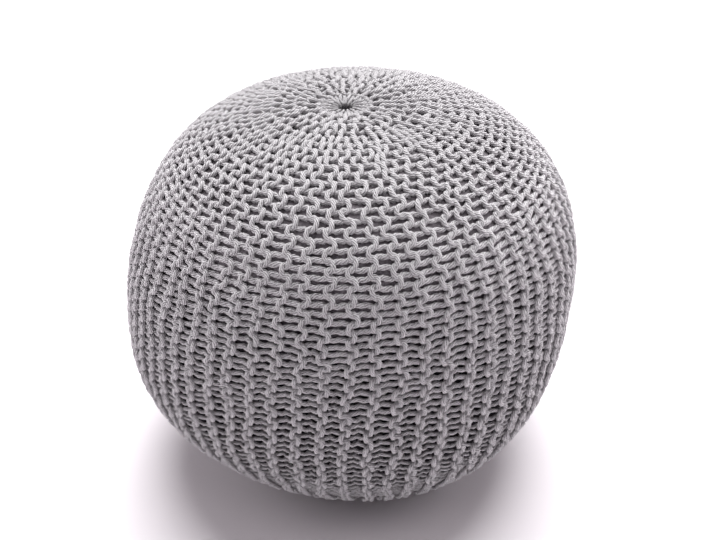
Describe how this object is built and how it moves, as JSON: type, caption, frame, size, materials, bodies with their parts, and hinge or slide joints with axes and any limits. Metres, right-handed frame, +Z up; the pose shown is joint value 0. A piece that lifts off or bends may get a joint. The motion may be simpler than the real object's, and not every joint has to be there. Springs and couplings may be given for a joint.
{
  "type": "knitted pouf",
  "caption": "Round knitted floor pouf: a soft filled ball with raised vertical ribs, a small gathered hole in its crown and a flat base.",
  "frame": {"origin": "on the floor, under the middle of the pouf", "axes": "+Z up through the gathered crown; the front seen in the picture faces -Y"},
  "size_m": [0.5038, 0.4998, 0.4154],
  "materials": {
    "cotton_yarn": "matt plied cotton yarn in a chunky garter knit"
  },
  "bodies": {
    "root": {"knitted_body": "cotton_yarn"}
  },
  "joints": []
}
